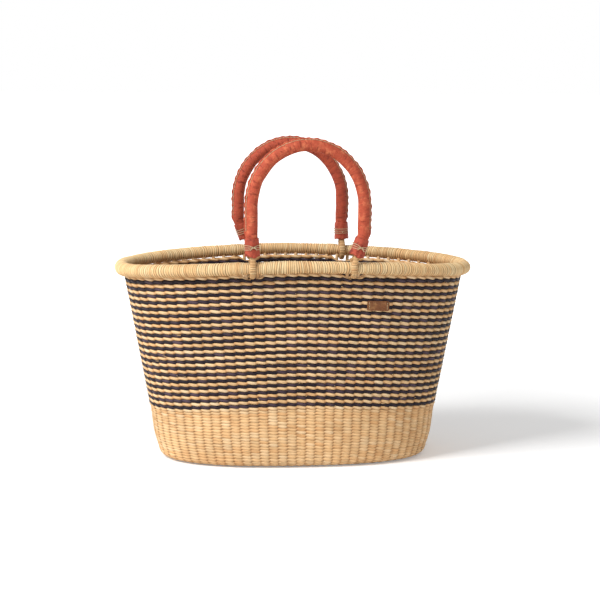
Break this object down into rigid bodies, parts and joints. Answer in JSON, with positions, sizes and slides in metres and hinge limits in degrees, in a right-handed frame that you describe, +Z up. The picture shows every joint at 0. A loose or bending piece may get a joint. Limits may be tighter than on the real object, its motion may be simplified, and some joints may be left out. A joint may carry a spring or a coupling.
{
  "type": "woven straw basket",
  "caption": "Oval flared straw shopping basket with dark striped wall, straw-bound rim and a pair of swinging leather-sleeved handles.",
  "frame": {"origin": "middle of the underside of the base, on the surface that it stands on", "axes": "+X along the basket's length to the right, +Y from the front (the side with the tag) to the rear, +Z up"},
  "size_m": [0.45, 0.2281, 0.4065],
  "materials": {
    "natural_straw": "matte plaited straw",
    "dark_straw": "matte straw dyed near-black",
    "binding_straw": "satin wound straw",
    "bundle_straw": "matte straw bundle",
    "handle_leather": "matte dyed leather",
    "cuff_leather": "matte dyed leather",
    "tag_leather": "matte brown leather",
    "waxed_thread": "matte thread"
  },
  "bodies": {
    "basket": {"wall": "natural_straw", "base_mat": "natural_straw", "dark_row_01": "dark_straw", "dark_row_02": "dark_straw", "dark_row_03": "dark_straw", "dark_row_04": "dark_straw", "dark_row_05": "dark_straw", "dark_row_06": "dark_straw", "dark_row_07": "dark_straw", "dark_row_08": "dark_straw", "dark_row_09": "dark_straw", "dark_row_10": "dark_straw", "dark_row_11": "dark_straw", "dark_row_12": "dark_straw", "dark_row_13": "dark_straw", "dark_row_14": "dark_straw", "dark_row_15": "dark_straw", "dark_row_16": "dark_straw", "dark_row_17": "dark_straw", "dark_row_18": "dark_straw", "dark_row_19": "dark_straw", "dark_row_20": "dark_straw", "rim_bundle": "bundle_straw", "rim_binding": "binding_straw", "tag": "tag_leather"},
    "front_handle": {"front_handle_rope": "bundle_straw", "front_handle_sleeve": "handle_leather", "front_left_loop": "binding_straw", "front_left_cuff": "cuff_leather", "front_left_tie": "waxed_thread", "front_right_loop": "binding_straw", "front_right_cuff": "cuff_leather", "front_right_tie": "waxed_thread"},
    "rear_handle": {"rear_handle_rope": "bundle_straw", "rear_handle_sleeve": "handle_leather", "rear_left_loop": "binding_straw", "rear_left_cuff": "cuff_leather", "rear_left_tie": "waxed_thread", "rear_right_loop": "binding_straw", "rear_right_cuff": "cuff_leather", "rear_right_tie": "waxed_thread"}
  },
  "joints": [
    {"name": "front_handle_swing", "type": "hinge", "parent": "basket", "child": "front_handle", "pos_m": [0, -0.10105, 0.24849], "axis": [1, 0, 0], "range_deg": [-37, 145]},
    {"name": "rear_handle_swing", "type": "hinge", "parent": "basket", "child": "rear_handle", "pos_m": [0, 0.10077, 0.24848], "axis": [-0.9999, 0.0151, 0.0072], "range_deg": [-37, 145]}
  ]
}
